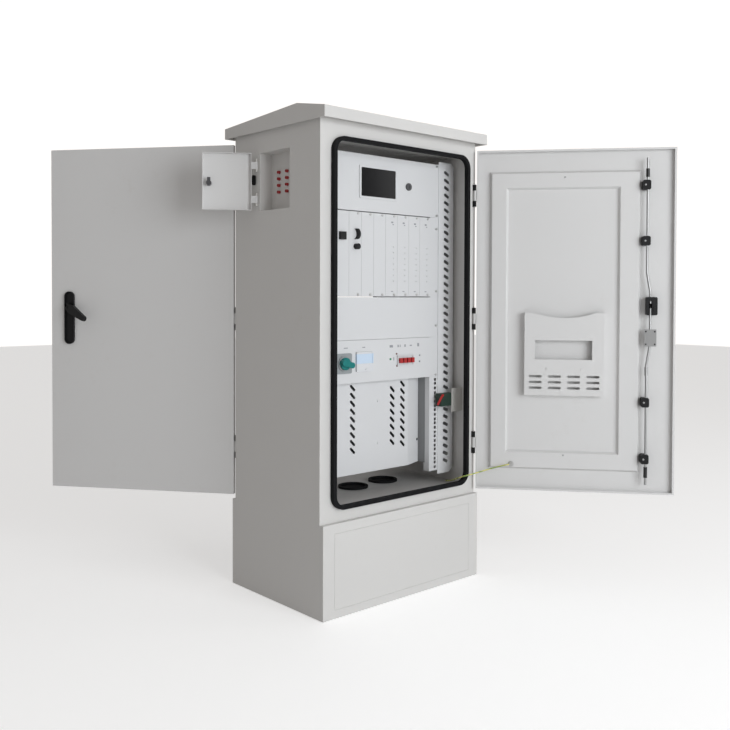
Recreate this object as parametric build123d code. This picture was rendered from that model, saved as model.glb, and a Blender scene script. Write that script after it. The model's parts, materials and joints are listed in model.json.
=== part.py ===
from build123d import *
import math
import os

os.makedirs("parts", exist_ok=True)

# A roadside utility cabinet on a plinth, in millimetres, +Z up.
# The origin is the middle of the plinth's underside. The front door's frame faces -Y.
# Everything is placed as it stands in the photograph: both doors and the side hatch are open.

# Overall sizes of the housing
cabinet_width = 660.0
body_depth = 440.0
body_top = 1450.0
plinth_depth = 474.0
plinth_height = 276.0
wall = 2.0
half_width = cabinet_width / 2
face_y = body_depth / 2

# Plinth
plinth_wall = 3.0
cover_width = 574.0
cover_low = 25.0
cover_high = 247.0
cover_sheet = 1.5
cover_gap = 0.6
cover_rebate = 10.0
plinth_flange = 45.0
plinth_top_flange = 55.0
anchor_x = 590.0
anchor_y = 404.0
anchor_hole_radius = 7.0

# Floor, ceiling and roof
floor_z = 300.0
ceiling_z = 1410.0
cable_entries = [(2.0, 22.0), (145.0, 33.0)]
entry_radius = 44.0
entry_flange_radius = 50.0
entry_height = 7.0
roof_half_width = 345.0
roof_half_depth = 259.0
fascia_low = 1442.0
fascia_high = 1475.0
ridge_y = -128.0
ridge_z = 1499.0
roof_sheet = 2.0

# Door opening with its lip and rubber seal
opening_mid_z = 856.5
seal_outer_half = 290.0
seal_inner_half = 278.0
seal_outer_rise = 544.5
seal_outer_corner = 42.0
lip_outer_half = 285.0
lip_depth = 10.0
seal_proud = 15.7

# Doors, shaped closed in the front frame and swung open afterwards
hinge_x = 322.0
hinge_y = -228.0
door_low = 292.0
door_high = 1422.0
door_right = 316.0
door_width = 643.0
door_face_y = -237.5
door_sheet = 1.5
door_return = 16.0
door_lip = 6.5
front_open_deg = 129.0
rear_open_deg = 127.0
skin_y = door_face_y + door_sheet

# Hinges
hinge_heights = [446.5, 862.0, 1273.5]
lug_height = 19.0
lug_pitch = 54.0
lug_radius = 4.5
knuckle_height = 34.0
knuckle_radius = 5.5
pin_radius = 3.0
pin_length = 76.0
running_clearance = 0.07

# Raised panel pressed into the inside of each door, measured from its hinge edge
pan_near = 43.0
pan_far = 534.0
pan_low = 361.0
pan_high = 1352.0
pan_rise = 14.0
pan_sheet = 1.2
field_near = 98.0
field_far = 467.0
field_low = 419.0
field_high = 1297.0
field_rise = 3.0
pan_taper = 30.0

# Document pocket inside the front door
pocket_near = 160.0
pocket_far = 417.5
pocket_low = 611.0
pocket_high = 884.0
pocket_depth = 24.0
pocket_sheet = 1.2
pocket_dip = 17.0
window_near = 194.0
window_far = 379.0
window_low = 730.0
window_high = 793.0
pocket_slot_width = 42.0
pocket_slot_height = 8.0
pocket_slot_near = 175.0
pocket_slot_pitch = 62.0
pocket_slot_heights = [674.0, 655.0, 636.0]
pocket_screws = [234.0, 347.0]
pocket_screw_z = 698.0

# Rods and lock, measured from the hinge edge
rod_line = 551.0
rod_lock_line = 562.0
rod_radius = 4.0
rod_y = -213.0
rod_top = 1387.5
rod_bottom = 325.5
rod_upper_end = 916.0
rod_lower_end = 900.0
guide_line = 547.5
guide_width = 26.0
guide_height = 31.0
guide_back_y = -206.0
guide_heights = [409.0, 594.0, 1119.0, 1300.0]
case_near = 549.0
case_far = 584.0
case_low = 878.0
case_high = 937.0
case_back_y = -206.0
case_window_half = 5.0
case_window_high = 925.0
coupler_low = 682.0
coupler_high = 745.0
coupler_radius = 6.0
plate_low = 777.0
plate_high = 832.0
plate_width = 38.0
plate_y = (-210.0, -206.5)
tip_sleeve_radius = 6.0
tip_sleeves = [(1325.0, 1352.0), (349.0, 384.0)]

# Swing handle on the outside of each door
handle_line = 576.0
spindle_z = 898.0
spindle_radius = 5.0
dish_low = 773.0
dish_high = 949.0
dish_width = 34.5
dish_proud = 8.0
dish_rim = 3.0
dish_floor = 2.0
lever_pivot_proud = 14.5
lever_length = 104.0
lever_root_width = 23.0
lever_shoulder_width = 30.0
lever_shoulder_drop = 24.0
lever_tip_width = 17.0
lever_thickness = 11.0
lever_root_rise = 7.0
tongue_width = 8.0
tongue_gap = 0.4
lever_pin_radius = 2.5
handle_turned_deg = 64.0
lever_lifted_deg = 24.0

# Rack for 19-inch units
rack_y = -132.0
rack_unit = 44.45
panel_width = 482.6
rack_low = 667.0
ear_screw_x = 232.55
rail_inner = 205.0
rail_low = 349.0
rail_web = 26.0
rail_hole = 9.5
rail_hole_first = 361.0
rail_hole_pitches = [15.875, 15.875, 12.7]
upright_inner = 243.5
upright_outer = 316.0
upright_low = 336.0
upright_high = 1388.0
upright_sheet = 2.0
upright_web = 42.0
upright_chamfer = 12.0
upright_slot_x = 282.0
upright_slot_length = 26.0
upright_slot_width = 11.0
upright_slot_deg = -25.0
upright_slot_pitch = 25.0
upright_slot_first = 377.0
upright_slot_count = 40
upright_brackets = [430.0, 860.0, 1330.0]
rear_upright_y = 132.0

# Units in the rack, from the top
unit_gap = 0.3
unit_half_body = 204.5
unit_depth = 200.0
panel_sheet = 3.0
screen_left = -110.0
screen_right = 49.0
screen_low = 1241.0
screen_high = 1344.0
screen_frame = 7.0
unit_lock_x = 100.6
unit_lock_z = 1292.0
unit_lock_radius = 12.0
module_count = 8
module_pitch = 50.8
module_gap = 0.6
module_thickness = 5.0
module_screw_offset = 11.0
vent_columns = [28.5, 79.0, 130.0, 180.0]
vent_heights = [985.0, 1003.2, 1021.4, 1039.6, 1057.8, 1076.0, 1094.2]
vent_length = 14.0
vent_width = 3.5
plain_half = 205.5
screw_radius = 3.6
screw_height = 2.2

# Distribution unit fittings
switch_x = -173.0
switch_z = 730.0
switch_size = 62.0
meter_left = -124.0
meter_right = -55.0
meter_low = 702.0
meter_high = 763.0
breaker_left = 52.0
breaker_right = 124.0
breaker_low = 712.0
breaker_high = 746.0
breaker_rim = 3.0
toggle_count = 4
toggle_width = 12.0
toggle_half_height = 8.0
toggle_pin_radius = 1.2

# Baffle with slanted air slots below the units
baffle_y = -110.0
baffle_sheet = 1.5
baffle_left = -202.5
baffle_fold = 127.0
baffle_right = 202.5
baffle_fold_deg = 21.0
baffle_low = 377.0
baffle_slot_length = 27.0
baffle_slot_width = 9.0
baffle_slot_pitch = 24.6
baffle_slot_top = 649.0
baffle_columns = [(-113.0, 0.0, 9), (56.0, 15.0, 8), (102.0, 0.0, 9)]
case_sheet = 1.5
case_front_y = -112.0
case_shelf_y = -79.0
case_rear_y = 120.0
case_top_z = 665.0

# Side hatch in the left wall
hatch_front = -73.4
hatch_back = 81.0
hatch_low = 1200.0
hatch_high = 1378.5
hatch_recess = 47.0
hatch_sheet = 1.5
hatch_axis_x = -334.0
hatch_axis_y = 94.5
hatch_leaf_front = -70.5
hatch_leaf_back = 79.0
hatch_leaf_gap = 1.3
hatch_leaf_depth = 15.0
hatch_hinges = [1236.0, 1342.0]
hatch_open_deg = 124.0
hatch_lock_y = -50.5
hatch_lock_z = 1283.0
socket_columns = [-2.0, 40.0]
socket_top = 1320.0
socket_pitch = 20.5
socket_radius = 4.8


def block(x, y, z):
    # A box between the two ends of each span.
    middle = ((x[0] + x[1]) / 2, (y[0] + y[1]) / 2, (z[0] + z[1]) / 2)
    return Pos(*middle) * Box(abs(x[1] - x[0]), abs(y[1] - y[0]), abs(z[1] - z[0]))


def upright_sheet_of(sketch, back_y, thickness):
    # Sketch x and y become X and Z. The sheet's back is at back_y and it grows towards -Y.
    return extrude(Plane.XZ.offset(-back_y) * sketch, amount=thickness)


def rod_along_y(x, z, radius, near_y, far_y):
    return upright_sheet_of(Pos(x, z) * Circle(radius), far_y, far_y - near_y)


def rod_along_z(x, y, radius, low, high):
    return extrude(Pos(x, y, low) * Circle(radius), amount=high - low)


def turned_half(shape):
    # The rear of the cabinet is the front turned half round.
    return Rot(0, 0, 180) * shape


def swung(shape, axis_x, axis_y, degrees):
    return Pos(axis_x, axis_y, 0) * Rot(0, 0, degrees) * Pos(-axis_x, -axis_y, 0) * shape


def save(shape, name):
    solids = [s for s in shape.solids()]
    export_step(Compound(children=solids) if len(solids) > 1 else solids[0], "parts/" + name + ".step")


def opening_outline(half):
    # The rounded outline of the door opening at a given half width.
    inset = seal_outer_half - half
    height = 2 * (seal_outer_rise - inset)
    return Pos(0, opening_mid_z) * RectangleRounded(2 * half, height, seal_outer_corner - inset)


# Plinth frame
half_depth = plinth_depth / 2
plinth = block((-half_width, half_width), (-half_depth, half_depth), (0, plinth_height))
plinth -= block(
    (-half_width + plinth_wall, half_width - plinth_wall),
    (-half_depth + plinth_wall, half_depth - plinth_wall),
    (plinth_wall, plinth_height - plinth_wall),
)
plinth -= block(
    (-half_width + plinth_flange, half_width - plinth_flange),
    (-half_depth + plinth_flange, half_depth - plinth_flange),
    (-1, plinth_wall + 1),
)
plinth -= block(
    (-half_width + plinth_top_flange, half_width - plinth_top_flange),
    (-half_depth + plinth_top_flange, half_depth - plinth_top_flange),
    (plinth_height - plinth_wall - 1, plinth_height + 1),
)
cover_half = cover_width / 2
for side in (-1, 1):
    rebate = block(
        (-cover_half - cover_gap, cover_half + cover_gap),
        (side * (half_depth - cover_sheet), side * (half_depth + 1)),
        (cover_low - cover_gap, cover_high + cover_gap),
    )
    window = block(
        (-cover_half + cover_rebate, cover_half - cover_rebate),
        (side * (half_depth - plinth_wall - 1), side * (half_depth + 1)),
        (cover_low + cover_rebate, cover_high - cover_rebate),
    )
    plinth -= rebate
    plinth -= window
for x in (-anchor_x / 2, anchor_x / 2):
    for y in (-anchor_y / 2, anchor_y / 2):
        plinth -= rod_along_z(x, y, anchor_hole_radius, -1, plinth_wall + 1)
save(plinth, "plinth_frame")

covers = Part()
for side in (-1, 1):
    covers += block(
        (-cover_half, cover_half),
        (side * (half_depth - cover_sheet), side * half_depth),
        (cover_low, cover_high),
    )
save(covers, "plinth_covers")

# Side walls
inner_y = face_y - wall
left_wall = block((-half_width, -half_width + wall), (-inner_y, inner_y), (plinth_height, body_top))
right_wall = block((half_width - wall, half_width), (-inner_y, inner_y), (plinth_height, body_top))
left_wall -= block(
    (-half_width - 1, -half_width + wall + 1), (hatch_front, hatch_back), (hatch_low, hatch_high)
)
save(left_wall, "left_side_wall")
save(right_wall, "right_side_wall")

# Front and rear frames, each with an outward lip round the door opening
body_middle = (plinth_height + body_top) / 2
face_outline = Pos(0, body_middle) * Rectangle(cabinet_width, body_top - plinth_height)
opening_half = lip_outer_half - wall
frame = upright_sheet_of(face_outline - opening_outline(opening_half), -inner_y, wall)
lip = opening_outline(lip_outer_half) - opening_outline(opening_half)
frame += upright_sheet_of(lip, -inner_y, wall + lip_depth)
save(frame, "front_frame")
save(turned_half(frame), "rear_frame")

# Rubber seals clipped over the lips
seal = upright_sheet_of(
    opening_outline(seal_outer_half) - opening_outline(seal_inner_half), -face_y, seal_proud
)
seal -= upright_sheet_of(lip, -face_y, lip_depth)
save(seal + turned_half(seal), "door_seals")

# Floor with two closed rubber cable entries
inner_x = half_width - wall
floor = block((-inner_x, inner_x), (-inner_y, inner_y), (floor_z - wall, floor_z))
entries = Part()
for x, y in cable_entries:
    floor -= rod_along_z(x, y, entry_radius, floor_z - wall - 1, floor_z + 1)
    entry = rod_along_z(x, y, entry_radius, floor_z - 6, floor_z + entry_height)
    entry += rod_along_z(x, y, entry_flange_radius, floor_z, floor_z + entry_height)
    entry -= rod_along_z(x, y, entry_radius - 3, floor_z + 1, floor_z + entry_height + 1)
    entries += entry
save(floor, "floor_plate")
save(entries, "cable_entries")
ceiling = block((-inner_x, inner_x), (-inner_y, inner_y), (ceiling_z, ceiling_z + wall))
save(ceiling, "ceiling_plate")

# Roof, one folded sheet with a short slope in front and a long one behind
roof_outline = Polyline(
    (-roof_half_depth, fascia_low),
    (-roof_half_depth, fascia_high),
    (ridge_y, ridge_z),
    (roof_half_depth, fascia_high),
    (roof_half_depth, fascia_low),
    close=True,
)
roof_face = make_face(roof_outline)
roof = extrude(Plane.YZ.offset(-roof_half_width) * roof_face, amount=2 * roof_half_width)
roof_hollow = extrude(
    Plane.YZ.offset(-roof_half_width + roof_sheet) * offset(roof_face, -roof_sheet, kind=Kind.INTERSECTION),
    amount=2 * (roof_half_width - roof_sheet),
)
mouth_x = roof_half_width - roof_sheet
mouth_y = roof_half_depth - roof_sheet
roof -= roof_hollow
roof -= block((-mouth_x, mouth_x), (-mouth_y, mouth_y), (fascia_low - 1, body_top + roof_sheet))
soffit = block((-mouth_x, mouth_x), (-mouth_y, mouth_y), (body_top, body_top + roof_sheet))
soffit -= block((-half_width + 20, half_width - 20), (-face_y + 20, face_y - 20), (body_top - 1, body_top + 5))
roof += soffit
save(roof, "roof_cover")

# Hinge lugs on the frames and their pins
lugs = Part()
pins = Part()
for middle in hinge_heights:
    pins += rod_along_z(hinge_x, hinge_y, pin_radius, middle - pin_length / 2, middle + pin_length / 2)
    for step in (-1, 1):
        low = middle + step * lug_pitch / 2 - lug_height / 2
        lug = rod_along_z(hinge_x, hinge_y, lug_radius, low, low + lug_height)
        lug += block((hinge_x - lug_radius, hinge_x + lug_radius), (hinge_y, -face_y), (low, low + lug_height))
        lug -= rod_along_z(hinge_x, hinge_y, pin_radius, low - 1, low + lug_height + 1)
        lugs += lug
save(lugs + turned_half(lugs), "hinge_lugs")
save(pins + turned_half(pins), "hinge_pins")


# Parts of one door, closed in the front frame
def at(distance):
    # X of a point a given distance from the door's hinge edge.
    return door_right - distance


def door_skin():
    left = door_right - door_width
    back = door_face_y + door_return
    skin = block((left, door_right), (door_face_y, back), (door_low, door_high))
    skin -= block(
        (left + door_sheet, door_right - door_sheet),
        (skin_y, back - door_sheet),
        (door_low + door_sheet, door_high - door_sheet),
    )
    skin -= block(
        (left + door_lip, door_right - door_lip), (skin_y, back + 1), (door_low + door_lip, door_high - door_lip)
    )
    skin -= rod_along_y(at(handle_line), spindle_z, spindle_radius + 1, door_face_y - 1, skin_y + 1)
    for middle in hinge_heights:
        low = middle - knuckle_height / 2
        high = middle + knuckle_height / 2
        leaf = rod_along_z(hinge_x, hinge_y, knuckle_radius, low, high)
        leaf += block((door_right - door_sheet, hinge_x), (hinge_y - 3, hinge_y + 3), (low, high))
        leaf -= rod_along_z(hinge_x, hinge_y, pin_radius + running_clearance, low - 1, high + 1)
        skin += leaf
    return skin


def pressed(near, far, low, high, base_y, rise, slope):
    # A block whose sides lean in as it rises from base_y towards +Y.
    middle = Pos((at(near) + at(far)) / 2, (low + high) / 2)
    foot = middle * Rectangle(far - near, high - low)
    lean = 2 * rise * math.tan(math.radians(slope))
    crown = middle * Rectangle(far - near - lean, high - low - lean)
    return loft([Plane.XZ.offset(-base_y) * foot, Plane.XZ.offset(-base_y - rise) * crown])


def door_pan():
    lean = pan_rise * math.tan(math.radians(pan_taper))
    depth = pan_rise - field_rise
    pan = pressed(pan_near, pan_far, pan_low, pan_high, skin_y, pan_rise, pan_taper)
    hollow = pressed(
        pan_near + pan_sheet * 1.5,
        pan_far - pan_sheet * 1.5,
        pan_low + pan_sheet * 1.5,
        pan_high - pan_sheet * 1.5,
        skin_y - 0.001,
        pan_rise - pan_sheet,
        pan_taper,
    )
    kept = pressed(
        field_near - lean, field_far + lean, field_low - lean, field_high + lean, skin_y - 1, pan_rise + 2, 0
    )
    sunk = depth * math.tan(math.radians(pan_taper))
    recess = pressed(
        field_near + sunk, field_far - sunk, field_low + sunk, field_high - sunk, skin_y + field_rise, depth, -pan_taper
    )
    return pan - (hollow - kept) - recess


def document_pocket():
    base = skin_y + field_rise
    left = at(pocket_far)
    right = at(pocket_near)
    rise = pocket_high - pocket_low
    middle = Pos((left + right) / 2, (pocket_low + pocket_high) / 2)
    outline = middle * Rectangle(right - left, rise)
    body = upright_sheet_of(outline, base + pocket_depth, pocket_depth)
    body -= block(
        (left + pocket_sheet, right - pocket_sheet),
        (base + pocket_sheet, base + pocket_depth - pocket_sheet),
        (pocket_low + pocket_sheet, pocket_high + 1),
    )
    front = (base + pocket_depth - 3, base + pocket_depth + 1)
    chord = (right - left) - 56
    dip_radius = (chord * chord / 4 + pocket_dip * pocket_dip) / (2 * pocket_dip)
    dip = rod_along_y((left + right) / 2, pocket_high - pocket_dip + dip_radius, dip_radius, front[0], front[1])
    body -= dip
    body -= block((at(window_far), at(window_near)), front, (window_low, window_high))
    for column in range(4):
        start = pocket_slot_near + column * pocket_slot_pitch
        for z in pocket_slot_heights:
            slot = Pos(at(start + pocket_slot_width / 2), z) * SlotOverall(pocket_slot_width, pocket_slot_height)
            body -= upright_sheet_of(slot, front[1], front[1] - front[0])
    for distance in pocket_screws:
        body += rod_along_y(at(distance), pocket_screw_z, 4, base + pocket_depth - pocket_sheet, base + pocket_depth + 2)
    return body


def rod_guides():
    guides = Part()
    for z in guide_heights:
        outline = Pos(at(guide_line), z) * RectangleRounded(guide_width, guide_height, 6)
        guide = upright_sheet_of(outline, guide_back_y, guide_back_y - skin_y)
        guide -= rod_along_z(at(rod_line), rod_y, rod_radius + running_clearance, z - guide_height, z + guide_height)
        guides += guide
    return guides


def rod_path(points):
    route = FilletPolyline(*[(at(s), rod_y, z) for s, z in points], radius=30)
    tangent = route % 0
    return sweep(Plane(route @ 0, z_dir=tangent) * Circle(rod_radius), path=route)


def upper_rod():
    rod = rod_path([(rod_lock_line, rod_upper_end), (rod_lock_line, 950), (rod_line, 1015), (rod_line, rod_top)])
    low, high = tip_sleeves[0]
    return rod + rod_along_z(at(rod_line), rod_y, tip_sleeve_radius, low, high)


def lower_rod():
    rod = rod_path([(rod_lock_line, rod_lower_end), (rod_lock_line, 786), (rod_line, 715), (rod_line, rod_bottom)])
    low, high = tip_sleeves[1]
    rod += rod_along_z(at(rod_line), rod_y, tip_sleeve_radius, low, high)
    rod += rod_along_z(at(rod_line), rod_y, coupler_radius, coupler_low, coupler_low + 28)
    middle = at(rod_lock_line)
    rod += block((middle - plate_width / 2, middle + plate_width / 2), plate_y, (plate_low, plate_high))
    return rod


def lock_case():
    middle = Pos((at(case_near) + at(case_far)) / 2, (case_low + case_high) / 2)
    outline = middle * RectangleRounded(case_far - case_near, case_high - case_low, 5)
    case = upright_sheet_of(outline, case_back_y, case_back_y - skin_y)
    case -= rod_along_z(at(rod_lock_line), rod_y, rod_radius + running_clearance, case_low - 1, case_high + 1)
    case -= rod_along_y(at(handle_line), spindle_z, spindle_radius + running_clearance, skin_y - 1, case_back_y + 1)
    window_x = (at(rod_lock_line) - case_window_half, at(rod_lock_line) + case_window_half)
    case -= block(window_x, (rod_y, case_back_y + 1), (case_low - 1, case_window_high))
    return case


def handle_dish():
    middle = Pos(at(handle_line), (dish_low + dish_high) / 2)
    length = dish_high - dish_low
    outer = middle * SlotOverall(length, dish_width, rotation=90)
    inner = middle * SlotOverall(length - 2 * dish_rim, dish_width - 2 * dish_rim, rotation=90)
    dish = upright_sheet_of(outer, door_face_y, dish_proud)
    dish -= upright_sheet_of(inner, door_face_y - dish_floor, dish_proud)
    dish -= rod_along_y(at(handle_line), spindle_z, spindle_radius + 1, door_face_y - 20, door_face_y + 1)
    return dish


def handle_hub():
    x = at(handle_line)
    head_y = door_face_y - dish_floor - 1
    pivot_y = door_face_y - lever_pivot_proud
    hub = rod_along_y(x, spindle_z, spindle_radius, head_y, case_back_y + 3)
    hub += rod_along_y(x, spindle_z, 11, head_y - 2, head_y)
    tongue = block((x - tongue_width / 2, x + tongue_width / 2), (pivot_y, head_y), (spindle_z - 5, spindle_z + 5))
    tongue += extrude(
        Plane.YZ.offset(x - tongue_width / 2) * Pos(pivot_y, spindle_z) * Circle(5), amount=tongue_width
    )
    reach = lever_root_width / 2
    pin = extrude(Plane.YZ.offset(x - reach) * Pos(pivot_y, spindle_z) * Circle(lever_pin_radius), amount=2 * reach)
    return hub + tongue + pin


def handle_lever():
    # Shaped hanging flat over the dish.
    x = at(handle_line)
    pivot_y = door_face_y - lever_pivot_proud
    root = lever_root_width / 2
    shoulder = lever_shoulder_width / 2
    tip = lever_tip_width / 2
    outline = Polyline(
        (x - root, spindle_z + lever_root_rise),
        (x + root, spindle_z + lever_root_rise),
        (x + root, spindle_z - 8),
        (x + shoulder, spindle_z - lever_shoulder_drop),
        (x + tip, spindle_z - lever_length + tip),
        (x - tip, spindle_z - lever_length + tip),
        (x - shoulder, spindle_z - lever_shoulder_drop),
        (x - root, spindle_z - 8),
        close=True,
    )
    face = make_face(outline) + Pos(x, spindle_z - lever_length + tip) * Circle(tip)
    lever = upright_sheet_of(face, pivot_y + lever_thickness / 2, lever_thickness)
    slot = tongue_width / 2 + tongue_gap
    lever -= block((x - slot, x + slot), (pivot_y - 12, pivot_y + 12), (spindle_z - 9, spindle_z + 12))
    bore = Plane.YZ.offset(x - root - 1) * Pos(pivot_y, spindle_z) * Circle(lever_pin_radius + running_clearance)
    lever -= extrude(bore, amount=lever_root_width + 2)
    return lever


def turned_handle(shape):
    # Turns a handle piece about its spindle towards the hinge side.
    x = at(handle_line)
    return Pos(x, 0, spindle_z) * Rot(0, -handle_turned_deg, 0) * Pos(-x, 0, -spindle_z) * shape


def lifted_lever(shape):
    # Lifts the lever's free end away from the dish.
    pivot_y = door_face_y - lever_pivot_proud
    return Pos(0, pivot_y, spindle_z) * Rot(-lever_lifted_deg, 0, 0) * Pos(0, -pivot_y, -spindle_z) * shape


door_pieces = {
    "door_skin": door_skin(),
    "door_pan": door_pan(),
    "rod_guides": rod_guides(),
    "upper_rod": upper_rod(),
    "lower_rod": lower_rod(),
    "lock_case": lock_case(),
    "handle_dish": handle_dish(),
    "handle_hub": turned_handle(handle_hub()),
    "handle_lever": turned_handle(lifted_lever(handle_lever())),
}
for name, shape in door_pieces.items():
    save(swung(shape, hinge_x, hinge_y, front_open_deg), "front_" + name)
    save(turned_half(swung(shape, hinge_x, hinge_y, rear_open_deg)), "rear_" + name)
save(swung(document_pocket(), hinge_x, hinge_y, front_open_deg), "document_pocket")

# Rack uprights: a slotted strip on a punched rail, two webs and welded brackets to the side walls
slot_shape = SlotOverall(upright_slot_length, upright_slot_width, rotation=upright_slot_deg)
strip = Polyline(
    (upright_inner, upright_low),
    (upright_outer - 1.5 * upright_chamfer, upright_low),
    (upright_outer, upright_low + upright_chamfer),
    (upright_outer, upright_high - upright_chamfer),
    (upright_outer - upright_chamfer, upright_high),
    (upright_inner, upright_high),
    close=True,
)
strip_face = make_face(strip)


def upright_with(slots, holes):
    plate = upright_sheet_of(strip_face, rack_y, upright_sheet)
    cutters = Sketch() + [Pos(upright_slot_x, z) * slot_shape for z in slots]
    plate -= upright_sheet_of(cutters, rack_y + 1, upright_sheet + 2)
    web_z = (upright_low + upright_chamfer, upright_high - upright_chamfer)
    rail_z = (rail_low, upright_high - upright_chamfer)
    rail = block((rail_inner, upright_inner + 6), (rack_y, rack_y + upright_sheet), rail_z)
    for z in holes:
        x = (ear_screw_x - rail_hole / 2, ear_screw_x + rail_hole / 2)
        rail -= block(x, (rack_y - 1, rack_y + upright_sheet + 1), (z - rail_hole / 2, z + rail_hole / 2))
    plate += rail
    plate += block((rail_inner, rail_inner + upright_sheet), (rack_y, rack_y + rail_web), rail_z)
    plate += block((upright_outer - upright_sheet, upright_outer), (rack_y, rack_y + upright_web), web_z)
    for z in upright_brackets:
        foot_y = (rack_y + upright_web - 30, rack_y + upright_web)
        plate += block((upright_outer - 1, inner_x), foot_y, (z - 2, z))
        plate += block((inner_x - 2, inner_x), foot_y, (z - 20, z))
    return plate


all_slots = [upright_slot_first + i * upright_slot_pitch for i in range(upright_slot_count)]
rail_holes = []
hole_z = rail_hole_first
while hole_z < rack_low - rail_hole:
    rail_holes.append(hole_z)
    hole_z += rail_hole_pitches[len(rail_holes) % 3]
front_upright = upright_with(all_slots, rail_holes)
rear_upright = turned_half(upright_with(all_slots[1::6], []))
uprights = front_upright + mirror(front_upright, about=Plane.YZ)
uprights += rear_upright + mirror(rear_upright, about=Plane.YZ)
save(uprights, "rack_uprights")

# Heights of the rack units
power_low = rack_low
blank_low = power_low + 3 * rack_unit
subrack_low = blank_low + 3 * rack_unit
monitor_low = subrack_low + 6 * rack_unit
rack_high = monitor_low + 4 * rack_unit
panel_half = panel_width / 2


def unit_case(low, high):
    return block(
        (-unit_half_body, unit_half_body), (rack_y, rack_y + unit_depth), (low + 2, high - 2)
    )


def unit_panel(low, high, thickness):
    return block((-panel_half, panel_half), (rack_y - thickness, rack_y), (low + unit_gap, high - unit_gap))


# Display unit
display = unit_case(monitor_low, rack_high) + unit_panel(monitor_low, rack_high, panel_sheet)
screen_mid_x = (screen_left + screen_right) / 2
screen_mid_z = (screen_low + screen_high) / 2
screen_w = screen_right - screen_left
screen_h = screen_high - screen_low
panel_front = rack_y - panel_sheet
bezel = Pos(screen_mid_x, screen_mid_z) * (
    RectangleRounded(screen_w, screen_h, 5)
    - RectangleRounded(screen_w - 2 * screen_frame, screen_h - 2 * screen_frame, 3)
)
display += upright_sheet_of(bezel, panel_front, 3)
display -= rod_along_y(unit_lock_x, unit_lock_z, unit_lock_radius - 4 + running_clearance, panel_front - 1, rack_y + 14)
save(display, "display_unit")
glass = Pos(screen_mid_x, screen_mid_z) * RectangleRounded(
    screen_w - 2 * screen_frame, screen_h - 2 * screen_frame, 3
)
save(upright_sheet_of(glass, panel_front, 1.2), "display_glass")
unit_lock = rod_along_y(unit_lock_x, unit_lock_z, unit_lock_radius - 4, panel_front - 1, rack_y + 13)
unit_lock += rod_along_y(unit_lock_x, unit_lock_z, unit_lock_radius, panel_front - 5, panel_front - 0.4)
unit_lock -= block(
    (unit_lock_x - 1.2, unit_lock_x + 1.2), (panel_front - 6, panel_front - 3), (unit_lock_z - 6, unit_lock_z + 6)
)
save(unit_lock, "display_lock")

# Subrack with eight plug-in modules
subrack_top = monitor_low
subrack = unit_case(subrack_low, subrack_top)
module_half = module_count * module_pitch / 2
module_low = subrack_low + 3
module_high = subrack_top - 3
for side in (-1, 1):
    subrack += block(
        (side * (module_half + 0.5), side * panel_half),
        (rack_y - 2, rack_y),
        (subrack_low + unit_gap, subrack_top - unit_gap),
    )
save(subrack, "subrack_case")
modules = Part()
for index in range(module_count):
    left = -module_half + index * module_pitch + module_gap / 2
    module = block((left, left + module_pitch - module_gap), (rack_y - module_thickness, rack_y), (module_low, module_high))
    for x in vent_columns:
        if left < x < left + module_pitch:
            vents = Sketch() + [Pos(x, z) * SlotOverall(vent_length, vent_width) for z in vent_heights]
            module -= upright_sheet_of(vents, rack_y - module_thickness + 2, 3)
    modules += module
save(modules, "subrack_modules")
module_front = rack_y - module_thickness
handle_x = -128.0
handle_arc = Pos(handle_x - 6, 1128.5) * (Circle(20) - Pos(-7, 0) * Circle(19))
handle_clip = Pos(handle_x + 6, 1128.5) * Rectangle(24, 32)
module_handle = upright_sheet_of(handle_arc & handle_clip, module_front, 12)
module_knob = rod_along_y(-125, 1090, 9, module_front - 14, module_front)
module_latch = block((-192, -170), (module_front - 10, module_front), (1109, 1133))
save(module_handle + module_knob + module_latch, "module_fittings")

# Blank panel and distribution unit
blank = unit_panel(blank_low, subrack_low, 1.5)
blank += block((-plain_half, plain_half), (rack_y - 4, rack_y), (blank_low + 0.8, subrack_low - 0.8))
save(blank, "blank_panel")
power = unit_case(power_low, blank_low) + unit_panel(power_low, blank_low, 1.5)
power_front = rack_y - 4
power += block((-plain_half, plain_half), (power_front, rack_y), (power_low + 0.8, blank_low - 0.8))
switch_bore = 5.0
power -= rod_along_y(switch_x, switch_z, switch_bore + running_clearance, power_front - 1, rack_y + 12)
save(power, "distribution_unit")
switch_half = switch_size / 2
plate_front = power_front - 5
switch_outline = Pos(switch_x, switch_z) * RectangleRounded(switch_size, switch_size, 6)
switch_plate = upright_sheet_of(switch_outline, power_front, 5)
switch_plate += rod_along_y(switch_x, switch_z, 24, plate_front - 3, plate_front)
switch_plate -= rod_along_y(switch_x, switch_z, switch_bore + 0.5, plate_front - 4, power_front + 1)
save(switch_plate, "switch_plate")
lever_back = plate_front - 3.6
lever_face = Pos(switch_x, switch_z) * Rot(0, 0, -15) * (Pos(3, 0) * SlotOverall(50, 18))
switch_lever = upright_sheet_of(lever_face, lever_back, 16)
switch_lever += rod_along_y(switch_x, switch_z, 19, lever_back - 6, lever_back)
switch_lever += rod_along_y(switch_x, switch_z, switch_bore, lever_back - 1, rack_y + 11)
save(switch_lever, "switch_lever")
meter_mid = Pos((meter_left + meter_right) / 2, (meter_low + meter_high) / 2)
meter_w = meter_right - meter_left
meter_h = meter_high - meter_low
meter = upright_sheet_of(meter_mid * RectangleRounded(meter_w - 1, meter_h, 3), power_front, 7)
dial_low = meter_low + 24
meter -= block((meter_left + 5, meter_right - 5), (power_front - 8, power_front - 5.5), (dial_low, meter_high - 5))
meter += rod_along_y(-85, 709, 3.5, power_front - 9, power_front - 6)
save(meter, "panel_meter")
breaker_mid_z = (breaker_low + breaker_high) / 2
breaker_w = breaker_right - breaker_left
breaker = block((breaker_left, breaker_right), (power_front - 5, power_front), (breaker_low, breaker_high))
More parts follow.
